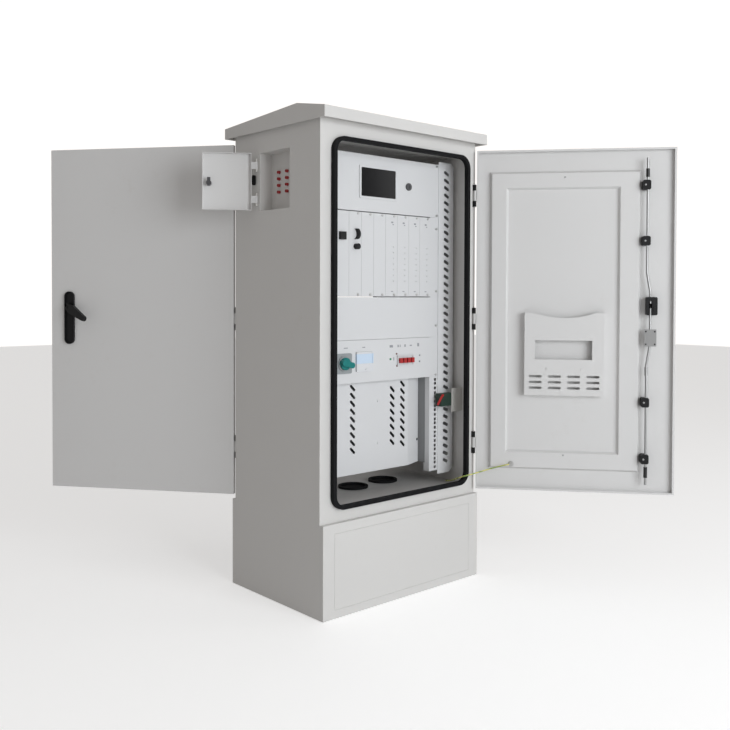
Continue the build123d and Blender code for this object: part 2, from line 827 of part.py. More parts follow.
breaker -= block(
    (breaker_left + breaker_rim, breaker_right - breaker_rim),
    (power_front - 6, power_front - 1.5),
    (breaker_low + breaker_rim, breaker_high - breaker_rim),
)
toggle_axis_y = power_front - 3.3
toggle_axis = Pos(toggle_axis_y, breaker_mid_z)
bore = Plane.YZ.offset(breaker_left + 0.8) * toggle_axis * Circle(toggle_pin_radius + running_clearance)
breaker -= extrude(bore, amount=breaker_w - 1.6)
save(breaker, "breaker_block")
toggles = extrude(
    Plane.YZ.offset(breaker_left + 1.2) * toggle_axis * Circle(toggle_pin_radius), amount=breaker_w - 2.4
)
toggle_pitch = (breaker_w - 8 - toggle_width) / (toggle_count - 1)
for index in range(toggle_count):
    x = breaker_left + 4 + toggle_width / 2 + index * toggle_pitch
    span = (x - toggle_width / 2, x + toggle_width / 2)
    toggles += block(span, (toggle_axis_y - 2.2, toggle_axis_y), (breaker_mid_z - 1, breaker_mid_z + 1))
    toggle_z = (breaker_mid_z - toggle_half_height, breaker_mid_z + toggle_half_height)
    toggles += block(span, (toggle_axis_y - 9, toggle_axis_y - 2), toggle_z)
save(toggles, "breaker_toggles")

# Screws that hold the units and modules
screws = Part()
ear_heights = [
    (rack_high - 6.4, panel_front),
    (monitor_low + 6.4, panel_front),
    (subrack_top - 38, rack_y - 2),
    (subrack_low + 20, rack_y - 2),
    (blank_low + 38, rack_y - 1.5),
    (power_low + 6.4, rack_y - 1.5),
]
for side in (-1, 1):
    for z, front in ear_heights:
        screws += rod_along_y(side * ear_screw_x, z, screw_radius, front - screw_height, front)
for index in range(1, module_count):
    x = -module_half + (index + 0.5) * module_pitch + module_screw_offset
    for z in (module_low + 5, module_high - 5):
        screws += rod_along_y(x, z, screw_radius, module_front - screw_height, module_front)
save(screws, "unit_screws")

# Baffle plate hung under the distribution unit
fold_rise = (baffle_right - baffle_fold) * math.tan(math.radians(baffle_fold_deg))
section = Polyline(
    (baffle_left, baffle_y),
    (baffle_fold, baffle_y),
    (baffle_right, baffle_y + fold_rise),
    (baffle_right, baffle_y + fold_rise + baffle_sheet),
    (baffle_fold, baffle_y + baffle_sheet),
    (baffle_left, baffle_y + baffle_sheet),
    close=True,
)
baffle_high = power_low + 2
baffle = extrude(Pos(0, 0, baffle_low) * make_face(section), amount=baffle_high - baffle_low)
baffle += block((baffle_left, baffle_fold), (baffle_y, baffle_y + 22), (baffle_high - baffle_sheet, baffle_high))
cutters = Sketch()
for x, drop, count in baffle_columns:
    for index in range(count):
        z = baffle_slot_top - drop - index * baffle_slot_pitch
        cutters += Pos(x, z) * SlotOverall(baffle_slot_length, baffle_slot_width, rotation=-45)
baffle -= upright_sheet_of(cutters, baffle_y + 3, 6)
for z in (600, 465):
    baffle += rod_along_y(-5.5, z, 4, baffle_y - 2, baffle_y)
save(baffle, "baffle_plate")

# Sheet enclosure behind the baffle, open towards it
lower_case = block((-rail_inner, rail_inner), (case_front_y, case_rear_y), (baffle_low, case_top_z))
cheek = rail_inner - case_sheet
lower_case -= block((-cheek, cheek), (case_front_y - 1, case_shelf_y), (baffle_low - 1, case_top_z + 1))
lower_case -= block(
    (-cheek, cheek), (case_front_y - 1, case_rear_y - case_sheet), (baffle_low + case_sheet, case_top_z - case_sheet)
)
save(lower_case, "lower_case")

# Door switch on a bracket from the right wall
bracket_y = (-167.0, -165.0)
bracket = block((277, inner_x), bracket_y, (547, 626))
bracket += block((inner_x - 2, inner_x), (bracket_y[0], -135), (547, 626))
save(bracket, "door_switch_bracket")
save(block((228, 290), (bracket_y[1], -140), (568, 610)), "door_switch_body")
arm = upright_sheet_of(Pos(219.5, 590) * Rot(0, 0, 53) * SlotOverall(38, 7), -166, 3)
arm += rod_along_y(233, 606, 4, -170, -165.3)
save(arm, "door_switch_arm")

# Side hatch: the recess behind the opening, sockets, leaf, hinges, cam lock and rubber stop
box_x = (-half_width + wall, -half_width + hatch_recess)
recess = block(
    box_x, (hatch_front - hatch_sheet, hatch_back + hatch_sheet), (hatch_low - hatch_sheet, hatch_high + hatch_sheet)
)
recess -= block((box_x[0] - 1, box_x[1] - hatch_sheet), (hatch_front, hatch_back), (hatch_low, hatch_high))
leaf_back_x = -half_width + hatch_leaf_depth
keeper_x = (leaf_back_x + 0.5, leaf_back_x + 2)
recess += block(keeper_x, (hatch_front - 1, hatch_front + 13), (hatch_lock_z - 12, hatch_lock_z + 12))
save(recess, "hatch_recess")
plate_x = box_x[1] - hatch_sheet
sockets = Part()
for y in socket_columns:
    for index in range(4):
        z = socket_top - index * socket_pitch
        base = Plane.YZ.offset(plate_x - 8)
        sockets += extrude(base * Pos(y, z) * (Circle(socket_radius) - Circle(2.5)), amount=8)
save(sockets, "hatch_sockets")
leaf_low = hatch_low + hatch_leaf_gap
leaf_high = hatch_high - hatch_leaf_gap
leaf = block((-half_width, leaf_back_x), (hatch_leaf_front, hatch_leaf_back), (leaf_low, leaf_high))
leaf -= block(
    (-half_width + hatch_sheet, leaf_back_x + 1),
    (hatch_leaf_front + hatch_sheet, hatch_leaf_back - hatch_sheet),
    (leaf_low + hatch_sheet, leaf_high - hatch_sheet),
)
lock_barrel_radius = 8.0
lock_axis = Plane.YZ.offset(-half_width - 3)
leaf -= extrude(lock_axis * Pos(hatch_lock_y, hatch_lock_z) * Circle(lock_barrel_radius + running_clearance), amount=10)
strap_half = 11.0
hatch_pin_radius = 1.6
hatch_knuckle_radius = 3.6
for z in hatch_hinges:
    strap = block(
        (-half_width - 1.5, -half_width), (hatch_leaf_back - 12, hatch_axis_y), (z - strap_half, z + strap_half)
    )
    strap += rod_along_z(hatch_axis_x, hatch_axis_y, hatch_knuckle_radius, z - strap_half, z + strap_half)
    strap -= block((-half_width - 0.2, -half_width + 4), (hatch_leaf_back, hatch_axis_y + 6), (z - 20, z + 20))
    strap -= rod_along_z(hatch_axis_x, hatch_axis_y, hatch_pin_radius + running_clearance, z - 20, z + 20)
    leaf += strap
save(swung(leaf, hatch_axis_x, hatch_axis_y, -hatch_open_deg), "hatch_leaf")
fixed = Part()
for z in hatch_hinges:
    hinge = rod_along_z(hatch_axis_x, hatch_axis_y, hatch_pin_radius, z - 20, z + 20)
    for low in (z - 20, z + strap_half + 0.5):
        end = low + 20 - strap_half - 0.5
        hinge += rod_along_z(hatch_axis_x, hatch_axis_y, hatch_knuckle_radius, low, end)
        hinge += block((hatch_axis_x, -half_width), (hatch_axis_y + 1, hatch_axis_y + 6), (low, end))
    hinge += block((-half_width - 1.5, -half_width), (hatch_axis_y + 4.5, hatch_axis_y + 18), (z - 20, z + 20))
    fixed += hinge
save(fixed, "hatch_hinges")
barrel = extrude(lock_axis * Pos(hatch_lock_y, hatch_lock_z) * Circle(lock_barrel_radius), amount=leaf_back_x + half_width + 7)
tongue_x = leaf_back_x + 2.5
barrel += block((tongue_x, tongue_x + 2), (hatch_lock_y - 5, hatch_lock_y + 5), (hatch_lock_z, hatch_lock_z + 17))
barrel += extrude(lock_axis * Pos(hatch_lock_y, hatch_lock_z) * Circle(lock_barrel_radius + 2.5), amount=2.6)
save(swung(barrel, hatch_axis_x, hatch_axis_y, -hatch_open_deg), "hatch_lock")
stop_face = Pos(110, 1298) * SlotOverall(31, 12, rotation=90)
save(extrude(Plane.YZ.offset(-half_width - 7) * stop_face, amount=7), "hatch_stop")

# Earth strap from the floor over the seal to the front door, with its ring lug
strap_radius = 2.2
strap_points = [
    (300.0, -120.0, 303.0),
    (281.0, -164.0, 312.0),
    (264.0, -210.0, 331.0),
    (272.0, -246.0, 344.0),
    (303.0, -253.0, 348.0),
    (334.0, -273.0, 358.0),
    (361.0, -305.0, 371.0),
    (382.0, -331.5, 379.0),
]


def bend_radii(points):
    radii = []
    for index in range(1, len(points) - 1):
        before = Vector(*points[index]) - Vector(*points[index - 1])
        after = Vector(*points[index + 1]) - Vector(*points[index])
        turn = math.radians(before.get_angle(after))
        radii.append(0.45 * min(before.length, after.length) / math.tan(turn / 2))
    return radii


radii = bend_radii(strap_points)
print("earth strap bend radii", [round(r, 1) for r in radii])
strap_route = FilletPolyline(*strap_points, radius=radii)
print("earth strap length", round(strap_route.length, 1))
strap_start = Plane(strap_route @ 0, z_dir=strap_route % 0)
earth_strap = sweep(strap_start * Circle(strap_radius), path=strap_route)
save(earth_strap, "earth_strap")
lug_line = 118.0
lug_z = 379.0
pan_face = skin_y + pan_rise
ring = rod_along_y(at(lug_line), lug_z, 9, pan_face, pan_face + 2)
ring += rod_along_y(at(lug_line), lug_z, 6, pan_face + 2, pan_face + 6)
save(swung(ring, hinge_x, hinge_y, front_open_deg), "strap_lug")
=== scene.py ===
import bpy
import json
import math
from mathutils import Matrix, Vector


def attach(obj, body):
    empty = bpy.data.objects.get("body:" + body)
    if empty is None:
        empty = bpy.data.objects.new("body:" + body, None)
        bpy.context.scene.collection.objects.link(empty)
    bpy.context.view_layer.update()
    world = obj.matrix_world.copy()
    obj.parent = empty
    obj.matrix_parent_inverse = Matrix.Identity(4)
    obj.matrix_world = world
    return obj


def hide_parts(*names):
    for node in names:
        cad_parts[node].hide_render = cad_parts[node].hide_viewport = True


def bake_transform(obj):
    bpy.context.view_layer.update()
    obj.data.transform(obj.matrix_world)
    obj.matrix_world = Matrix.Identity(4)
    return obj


# A roadside utility cabinet, seen from its front left with both doors and the side hatch open.
# Metres, +Z up, the front door's frame faces -Y.

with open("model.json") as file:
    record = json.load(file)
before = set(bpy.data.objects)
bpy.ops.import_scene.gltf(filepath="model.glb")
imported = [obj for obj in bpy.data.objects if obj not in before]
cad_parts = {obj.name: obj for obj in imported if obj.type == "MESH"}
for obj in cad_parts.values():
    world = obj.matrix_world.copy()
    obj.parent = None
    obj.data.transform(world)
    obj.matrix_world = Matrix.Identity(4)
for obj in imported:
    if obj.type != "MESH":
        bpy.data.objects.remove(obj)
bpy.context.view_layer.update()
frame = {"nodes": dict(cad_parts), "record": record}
scene = bpy.context.scene
nodes = frame["nodes"]


# Camera
camera_place = Vector((-1.8869, -2.2001, 0.9389))
camera_yaw = math.radians(42.4)
camera_pitch = math.radians(-1.2)
camera_roll = math.radians(0.2)
camera_data = bpy.data.cameras.new("camera")
camera_data.sensor_width = 36.0
camera_data.lens = 43.30
camera_data.shift_x = -0.027
camera_data.shift_y = -0.070
camera_data.clip_start = 0.05
camera_data.clip_end = 60.0
camera = bpy.data.objects.new("camera", camera_data)
scene.collection.objects.link(camera)
camera.location = camera_place
forward = Vector(
    (
        math.sin(camera_yaw) * math.cos(camera_pitch),
        math.cos(camera_yaw) * math.cos(camera_pitch),
        math.sin(camera_pitch),
    )
)
camera.rotation_euler = forward.to_track_quat("-Z", "Y").to_euler()
camera.rotation_euler.rotate_axis("Z", camera_roll)
scene.camera = camera


# Earth strap: one round insulated line, from the floor to the front door
strap_points = [
    (0.300, -0.120, 0.303),
    (0.281, -0.164, 0.312),
    (0.264, -0.210, 0.331),
    (0.272, -0.246, 0.344),
    (0.303, -0.253, 0.348),
    (0.334, -0.273, 0.358),
    (0.361, -0.305, 0.371),
    (0.382, -0.3315, 0.379),
]


def smooth_line(name, points):
    curve = bpy.data.curves.new(name, "CURVE")
    curve.dimensions = "3D"
    curve.resolution_u = 12
    spline = curve.splines.new("NURBS")
    spline.points.add(len(points) - 1)
    for point, place in zip(spline.points, points):
        point.co = (*place, 1.0)
    spline.order_u = 3
    spline.use_endpoint_u = True
    holder = bpy.data.objects.new(name, curve)
    scene.collection.objects.link(holder)
    return holder


def line_points(holder):
    mesh = bpy.data.meshes.new_from_object(holder)
    points = [v.co.copy() for v in mesh.vertices]
    bpy.data.meshes.remove(mesh)
    return points


strap_line = smooth_line("strap_line", strap_points)
strap_path = line_points(strap_line)
bpy.data.objects.remove(strap_line)


def mesh_piece(name, vertices, faces, smooth=True):
    mesh = bpy.data.meshes.new(name)
    mesh.from_pydata([tuple(v) for v in vertices], [], faces)
    mesh.update()
    if smooth:
        for polygon in mesh.polygons:
            polygon.use_smooth = True
    piece = bpy.data.objects.new(name, mesh)
    scene.collection.objects.link(piece)
    return piece


def tube(name, points, radius, sides=10):
    # A round tube that follows the points, with closed ends.
    vertices = []
    faces = []
    side = None
    for index, place in enumerate(points):
        before = points[max(index - 1, 0)]
        after = points[min(index + 1, len(points) - 1)]
        along = (after - before).normalized()
        if side is None:
            side = along.cross(Vector((0, 0, 1))).normalized()
        side = (side - along * side.dot(along)).normalized()
        other = along.cross(side)
        for step in range(sides):
            angle = 2 * math.pi * step / sides
            vertices.append(place + (side * math.cos(angle) + other * math.sin(angle)) * radius)
    for ring in range(len(points) - 1):
        for step in range(sides):
            a = ring * sides + step
            b = ring * sides + (step + 1) % sides
            faces.append((a, b, b + sides, a + sides))
    faces.append(tuple(reversed(range(sides))))
    last = (len(points) - 1) * sides
    faces.append(tuple(last + step for step in range(sides)))
    return mesh_piece(name, vertices, faces)


strap_radius = 0.0022
strap = tube("earth_strap_line", strap_path, strap_radius)


# Materials
def group_socket(group, name, way, kind, value=None):
    socket = group.interface.new_socket(name, in_out=way, socket_type=kind)
    if value is not None:
        socket.default_value = value
    return socket


def powder_coat_group():
    # The grain of a fine textured powder coat with soft dust and handling marks.
    group = bpy.data.node_groups.new("powder_coat", "ShaderNodeTree")
    group_socket(group, "Paint", "INPUT", "NodeSocketColor", (0.7, 0.7, 0.7, 1))
    group_socket(group, "Dust", "INPUT", "NodeSocketFloat", 0.3)
    group_socket(group, "Dust colour", "INPUT", "NodeSocketColor", (0.52, 0.48, 0.42, 1))
    group_socket(group, "Colour", "OUTPUT", "NodeSocketColor")
    group_socket(group, "Roughness", "OUTPUT", "NodeSocketFloat")
    group_socket(group, "Height", "OUTPUT", "NodeSocketFloat")
    put = group.nodes.new
    link = group.links.new
    entry = put("NodeGroupInput")
    leave = put("NodeGroupOutput")
    place = put("ShaderNodeTexCoord")
    broad = put("ShaderNodeTexNoise")
    broad.inputs["Scale"].default_value = 3.5
    broad.inputs["Detail"].default_value = 4.0
    link(place.outputs["Object"], broad.inputs["Vector"])
    fine = put("ShaderNodeTexNoise")
    fine.inputs["Scale"].default_value = 620.0
    fine.inputs["Detail"].default_value = 2.0
    link(place.outputs["Object"], fine.inputs["Vector"])
    marks = put("ShaderNodeTexNoise")
    marks.inputs["Scale"].default_value = 26.0
    marks.inputs["Detail"].default_value = 6.0
    marks.inputs["Roughness"].default_value = 0.7
    link(place.outputs["Object"], marks.inputs["Vector"])
    soft = put("ShaderNodeMapRange")
    soft.inputs["From Min"].default_value = 0.45
    soft.inputs["From Max"].default_value = 0.8
    link(broad.outputs["Fac"], soft.inputs["Value"])
    spots = put("ShaderNodeMapRange")
    spots.inputs["From Min"].default_value = 0.56
    spots.inputs["From Max"].default_value = 0.78
    link(marks.outputs["Fac"], spots.inputs["Value"])
    both = put("ShaderNodeMath")
    both.operation = "MULTIPLY"
    link(soft.outputs["Result"], both.inputs[0])
    link(spots.outputs["Result"], both.inputs[1])
    amount = put("ShaderNodeMath")
    amount.operation = "MULTIPLY"
    link(both.outputs["Value"], amount.inputs[0])
    link(entry.outputs["Dust"], amount.inputs[1])
    mix = put("ShaderNodeMix")
    mix.data_type = "RGBA"
    link(amount.outputs["Value"], mix.inputs["Factor"])
    link(entry.outputs["Paint"], mix.inputs["A"])
    link(entry.outputs["Dust colour"], mix.inputs["B"])
    link(mix.outputs["Result"], leave.inputs["Colour"])
    rough = put("ShaderNodeMapRange")
    rough.inputs["To Min"].default_value = 0.42
    rough.inputs["To Max"].default_value = 0.56
    link(marks.outputs["Fac"], rough.inputs["Value"])
    link(rough.outputs["Result"], leave.inputs["Roughness"])
    link(fine.outputs["Fac"], leave.inputs["Height"])
    return group


def fine_grain_group():
    # The very fine surface grain of moulded plastic, rubber and sheet metal.
    group = bpy.data.node_groups.new("fine_grain", "ShaderNodeTree")
    group_socket(group, "Scale", "INPUT", "NodeSocketFloat", 900.0)
    group_socket(group, "Height", "OUTPUT", "NodeSocketFloat")
    put = group.nodes.new
    link = group.links.new
    entry = put("NodeGroupInput")
    leave = put("NodeGroupOutput")
    place = put("ShaderNodeTexCoord")
    grain = put("ShaderNodeTexNoise")
    link(place.outputs["Object"], grain.inputs["Vector"])
    link(entry.outputs["Scale"], grain.inputs["Scale"])
    link(grain.outputs["Fac"], leave.inputs["Height"])
    return group


def height_band_group():
    # One band of a second colour round a piece, between two heights of its own Z, in metres.
    group = bpy.data.node_groups.new("height_band", "ShaderNodeTree")
    group_socket(group, "Colour", "INPUT", "NodeSocketColor", (0.5, 0.5, 0.5, 1))
    group_socket(group, "Band colour", "INPUT", "NodeSocketColor", (0.1, 0.1, 0.1, 1))
    group_socket(group, "Mask", "INPUT", "NodeSocketFloat", 0.0)
    group_socket(group, "Middle", "INPUT", "NodeSocketFloat", 0.0)
    group_socket(group, "Half height", "INPUT", "NodeSocketFloat", 0.01)
    group_socket(group, "Colour", "OUTPUT", "NodeSocketColor")
    group_socket(group, "Mask", "OUTPUT", "NodeSocketFloat")
    put = group.nodes.new
    link = group.links.new
    entry = put("NodeGroupInput")
    leave = put("NodeGroupOutput")
    place = put("ShaderNodeTexCoord")
    apart = put("ShaderNodeSeparateXYZ")
    link(place.outputs["Object"], apart.inputs["Vector"])
    inside = put("ShaderNodeMath")
    inside.operation = "COMPARE"
    link(apart.outputs["Z"], inside.inputs[0])
    link(entry.outputs["Middle"], inside.inputs[1])
    link(entry.outputs["Half height"], inside.inputs[2])
    mix = put("ShaderNodeMix")
    mix.data_type = "RGBA"
    link(inside.outputs["Value"], mix.inputs["Factor"])
    link(entry.outputs["Colour"], mix.inputs["A"])
    link(entry.outputs["Band colour"], mix.inputs["B"])
    link(mix.outputs["Result"], leave.inputs["Colour"])
    joined = put("ShaderNodeMath")
    joined.operation = "MAXIMUM"
    link(entry.outputs["Mask"], joined.inputs[0])
    link(inside.outputs["Value"], joined.inputs[1])
    link(joined.outputs["Value"], leave.inputs["Mask"])
    return group


powder_coat = powder_coat_group()
fine_grain = fine_grain_group()
height_band = height_band_group()


def bare_material(name):
    material = bpy.data.materials.new(name)
    material.use_nodes = True
    shader = material.node_tree.nodes["Principled BSDF"]
    return material, material.node_tree, shader


def painted(name, colour, dust=0.25, bump=0.04):
    material, tree, shader = bare_material(name)
    coat = tree.nodes.new("ShaderNodeGroup")
    coat.node_tree = powder_coat
    coat.inputs["Paint"].default_value = (*colour, 1)
    coat.inputs["Dust"].default_value = dust
    relief = tree.nodes.new("ShaderNodeBump")
    relief.inputs["Strength"].default_value = bump
    relief.inputs["Distance"].default_value = 0.0004
    tree.links.new(coat.outputs["Colour"], shader.inputs["Base Color"])
    tree.links.new(coat.outputs["Roughness"], shader.inputs["Roughness"])
    tree.links.new(coat.outputs["Height"], relief.inputs["Height"])
    tree.links.new(relief.outputs["Normal"], shader.inputs["Normal"])
    return material


def plain(name, colour, roughness, metallic=0.0, coat=0.0, specular=0.5):
    material, tree, shader = bare_material(name)
    shader.inputs["Base Color"].default_value = (*colour, 1)
    shader.inputs["Roughness"].default_value = roughness
    shader.inputs["Metallic"].default_value = metallic
    shader.inputs["Coat Weight"].default_value = coat
    shader.inputs["Specular IOR Level"].default_value = specular
    grain = tree.nodes.new("ShaderNodeGroup")
    grain.node_tree = fine_grain
    relief = tree.nodes.new("ShaderNodeBump")
    relief.inputs["Strength"].default_value = 0.05
    relief.inputs["Distance"].default_value = 0.0002
    tree.links.new(grain.outputs["Height"], relief.inputs["Height"])
    tree.links.new(relief.outputs["Normal"], shader.inputs["Normal"])
    return material


def banded(tree, shader, base, other, bands):
    # Colours the piece, with the other colour in each band, and gives back the last band placed.
    last = None
    for low, high in bands:
        band = tree.nodes.new("ShaderNodeGroup")
        band.node_tree = height_band
        band.inputs["Colour"].default_value = (*base, 1)
        band.inputs["Band colour"].default_value = (*other, 1)
        band.inputs["Middle"].default_value = (low + high) / 2
        band.inputs["Half height"].default_value = (high - low) / 2
        if last is not None:
            tree.links.new(last.outputs["Colour"], band.inputs["Colour"])
            tree.links.new(last.outputs["Mask"], band.inputs["Mask"])
        last = band
    tree.links.new(last.outputs["Colour"], shader.inputs["Base Color"])
    return last


def rod_finish():
    # Bright zinc rods with a black sleeve near each tip.
    zinc_colour = (0.40, 0.40, 0.40)
    sleeve_colour = (0.010, 0.010, 0.011)
    sleeve_heights = [(1.325, 1.352), (0.349, 0.384)]
    material, tree, shader = bare_material("rod_steel")
    shader.inputs["Roughness"].default_value = 0.34
    sleeves = banded(tree, shader, zinc_colour, sleeve_colour, sleeve_heights)
    metal = tree.nodes.new("ShaderNodeMapRange")
    metal.inputs["To Min"].default_value = 0.9
    metal.inputs["To Max"].default_value = 0.0
    tree.links.new(sleeves.outputs["Mask"], metal.inputs["Value"])
    tree.links.new(metal.outputs["Result"], shader.inputs["Metallic"])
    return material


def meter_finish():
    # A white case with a pale blue dial in its upper part.
    case_colour = (0.70, 0.71, 0.73)
    dial_colour = (0.58, 0.70, 0.84)
    dial_heights = [(0.727, 0.757)]
    material, tree, shader = bare_material("meter_face")
    shader.inputs["Roughness"].default_value = 0.25
    banded(tree, shader, case_colour, dial_colour, dial_heights)
    return material


def strap_finish():
    # Yellow insulation with slanting green bands.
    material, tree, shader = bare_material("strap_wires")
    shader.inputs["Roughness"].default_value = 0.45
    place = tree.nodes.new("ShaderNodeTexCoord")
    stripe = tree.nodes.new("ShaderNodeTexWave")
    stripe.bands_direction = "DIAGONAL"
    stripe.inputs["Scale"].default_value = 38.0
    tree.links.new(place.outputs["Object"], stripe.inputs["Vector"])
    edge = tree.nodes.new("ShaderNodeMapRange")
    edge.inputs["From Min"].default_value = 0.58
    edge.inputs["From Max"].default_value = 0.66
    tree.links.new(stripe.outputs["Fac"], edge.inputs["Value"])
    mix = tree.nodes.new("ShaderNodeMix")
    mix.data_type = "RGBA"
    mix.inputs["A"].default_value = (0.72, 0.68, 0.22, 1)
    mix.inputs["B"].default_value = (0.28, 0.40, 0.10, 1)
    tree.links.new(edge.outputs["Result"], mix.inputs["Factor"])
    tree.links.new(mix.outputs["Result"], shader.inputs["Base Color"])
    return material


wall_paint = painted("wall_paint", (0.66, 0.65, 0.635))
door_paint = painted("door_paint", (0.70, 0.695, 0.69))
panel_paint = painted("panel_paint", (0.665, 0.67, 0.68), dust=0.1, bump=0.02)
# The lower case's grey is much darker than the cabinet's white paint. It is partly painted shade,
# darkening the inside of the closed case seen through the baffle slots.
dark_paint = plain("dark_paint", (0.24, 0.245, 0.25), 0.6)
seal_rubber = plain("seal_rubber", (0.006, 0.006, 0.007), 0.75, specular=0.18)
black_plastic = plain("black_plastic", (0.008, 0.008, 0.009), 0.5, specular=0.3)
zinc = plain("zinc_steel", (0.62, 0.62, 0.61), 0.34, metallic=0.9)
dark_glass = plain("display_glass", (0.006, 0.006, 0.007), 0.12, specular=0.22)
grey_plastic = plain("grey_plastic", (0.30, 0.32, 0.33), 0.45)
teal_plastic = plain("teal_plastic", (0.006, 0.19, 0.18), 0.4, specular=0.35)
bright_sheet = plain("bright_sheet", (0.62, 0.61, 0.58), 0.4, metallic=0.25)
lock_steel = plain("lock_steel", (0.10, 0.10, 0.105), 0.4, metallic=0.5)
meter_plastic = plain("meter_plastic", (0.62, 0.72, 0.80), 0.25)
red_plastic = plain("red_plastic", (0.42, 0.02, 0.02), 0.35)
green_plastic = plain("green_plastic", (0.022, 0.045, 0.034), 0.5, specular=0.3)
strap_cover = strap_finish()
rod_steel = rod_finish()
meter_face = meter_finish()
mark_grey = plain("mark_grey", (0.30, 0.31, 0.33), 0.6)
stud_grey = plain("stud_grey", (0.42, 0.42, 0.42), 0.4, metallic=0.6)
lamp_green = plain("lamp_green", (0.05, 0.33, 0.16), 0.3)
lamp_brown = plain("lamp_brown", (0.16, 0.07, 0.05), 0.35)

finishes = {
    "wall_paint": wall_paint,
    "door_paint": door_paint,
    "panel_paint": panel_paint,
    "dark_paint": dark_paint,
    "seal_rubber": seal_rubber,
    "black_plastic": black_plastic,
    "zinc_steel": zinc,
    "display_glass": dark_glass,
    "grey_plastic": grey_plastic,
    "teal_plastic": teal_plastic,
    "meter_plastic": meter_plastic,
    "red_plastic": red_plastic,
    "green_plastic": green_plastic,
    "strap_cover": strap_cover,
}
for row in frame["record"]["subparts"]:
    node = nodes[row["node"]]
    finish = finishes[row["material_slot"]]
    if not node.material_slots:
        node.data.materials.append(finish)
    for place in node.material_slots:
        place.material = finish

for name in ("front_upper_rod", "front_lower_rod", "rear_upper_rod", "rear_lower_rod"):
    for place in nodes[name].material_slots:
        place.material = rod_steel
for name, finish in (
    ("panel_meter", meter_face),
    ("door_switch_bracket", bright_sheet),
    ("hatch_hinges", bright_sheet),
    ("display_lock", lock_steel),
    ("hatch_lock", lock_steel),
    # The hatch leaf takes the lighter door paint instead of its wall paint. This is a painted
    # highlight that makes it as bright as the lit rear door.
    ("hatch_leaf", door_paint),
):
    for place in nodes[name].material_slots:
        place.material = finish

strap.data.materials.append(strap_cover)
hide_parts("earth_strap")
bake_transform(strap)


# Small pieces, shaped on a face that looks towards -Y and then put in place
front_hinge = Vector((0.322, -0.228, 0))
front_opened = math.radians(129.0)
rear_opened = math.radians(127.0)


def door_place(opened, rear):
    to_hinge = Matrix.Translation(front_hinge)
    swing = to_hinge @ Matrix.Rotation(opened, 4, "Z") @ to_hinge.inverted()
    return Matrix.Rotation(math.pi, 4, "Z") @ swing if rear else swing


front_door_place = door_place(front_opened, False)
rear_door_place = door_place(rear_opened, True)
as_it_is = Matrix.Identity(4)


def domed_stud(vertices, faces, x, y, z, radius, height, facing, place, sides=20):
    # A stud whose seat is at y. It rises by height towards facing, which is -1 or 1 along Y.
    rings = [(1.0, 0.0), (1.0, 0.45), (0.86, 0.8), (0.5, 0.97)]
    first = len(vertices)
    for reach, rise in rings:
        for step in range(sides):
            angle = 2 * math.pi * step / sides
            point = Vector(
                (
                    x + radius * reach * math.cos(angle),
                    y + facing * height * rise,
                    z + radius * reach * math.sin(angle),
                )
            )
            vertices.append(place @ point)
    vertices.append(place @ Vector((x, y + facing * height, z)))
    for ring in range(len(rings) - 1):
        for step in range(sides):
            a = first + ring * sides + step
            b = first + ring * sides + (step + 1) % sides
            faces.append((a, b, b + sides, a + sides))
    top = first + (len(rings) - 1) * sides
    for step in range(sides):
        faces.append((top + step, top + (step + 1) % sides, first + len(rings) * sides))


def low_plate(vertices, faces, x, y, z, width, height, rise, place):
    # A thin plate with leaning edges on a face at y that looks towards -Y.
    first = len(vertices)
    lean = min(width, height) * 0.15
    for inset, depth in ((0.0, 0.0), (lean, rise)):
        for side_x, side_z in ((-1, -1), (1, -1), (1, 1), (-1, 1)):
            corner_x = x + side_x * (width / 2 - inset)
            corner_z = z + side_z * (height / 2 - inset)
            vertices.append(place @ Vector((corner_x, y - depth, corner_z)))
    faces.append((first + 4, first + 5, first + 6, first + 7))
    for step in range(4):
        after = (step + 1) % 4
        faces.append((first + step, first + after, first + 4 + after, first + 4 + step))


def studs(name, body, finish, rows, radius, height, facing=-1, place=as_it_is):
    vertices = []
    faces = []
    for x, y, z in rows:
        domed_stud(vertices, faces, x, y, z, radius, height, facing, place)
    piece = mesh_piece(name, vertices, faces)
    piece.data.materials.append(finish)
    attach(piece, body)
    return piece


def plates(name, body, finish, rows, y, rise=0.0003, place=as_it_is):
    vertices = []
    faces = []
    for x, z, width, height in rows:
        low_plate(vertices, faces, x, y, z, width, height, rise, place)
    piece = mesh_piece(name, vertices, faces, smooth=False)
    piece.data.materials.append(finish)
    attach(piece, body)
    return piece


power_face = -0.136
module_face = -0.137
green_lamps = [(0.023, power_face, 0.735)]
brown_lamps = [(0.050, power_face, 0.751), (0.052, power_face, 0.712)]
grey_lamps = [(0.154, power_face, 0.742), (0.154, power_face, 0.722)]
studs("panel_lamp_green", "cabinet", lamp_green, green_lamps, 0.0035, 0.003)
studs("panel_lamps_brown", "cabinet", lamp_brown, brown_lamps, 0.003, 0.0025)
studs("panel_lamps_grey", "cabinet", mark_grey, grey_lamps, 0.003, 0.0025)
# Each mark: the place of its middle in X and Z, its width and its height
panel_marks = [
    (0.027, 0.776, 0.015, 0.008),
    (0.057, 0.776, 0.006, 0.008),
    (0.066, 0.776, 0.004, 0.008),
    (0.088, 0.776, 0.006, 0.008),
    (0.114, 0.776, 0.010, 0.004),
    (0.148, 0.777, 0.009, 0.011),
    (-0.163, 0.777, 0.016, 0.003),
    (-0.090, 0.777, 0.012, 0.003),
    (0.038, 0.735, 0.004, 0.010),
]
plates("panel_marks", "cabinet", mark_grey, panel_marks, power_face)
module_marks = []
for x in (0.0285, 0.079, 0.130, 0.180):
    module_marks.append((x, 1.173, 0.009, 0.005))
    module_marks.append((x + 0.004, 1.166, 0.006, 0.003))
    module_marks.append((x, 0.952, 0.009, 0.003))
plates("module_marks", "cabinet", mark_grey, module_marks, module_face)

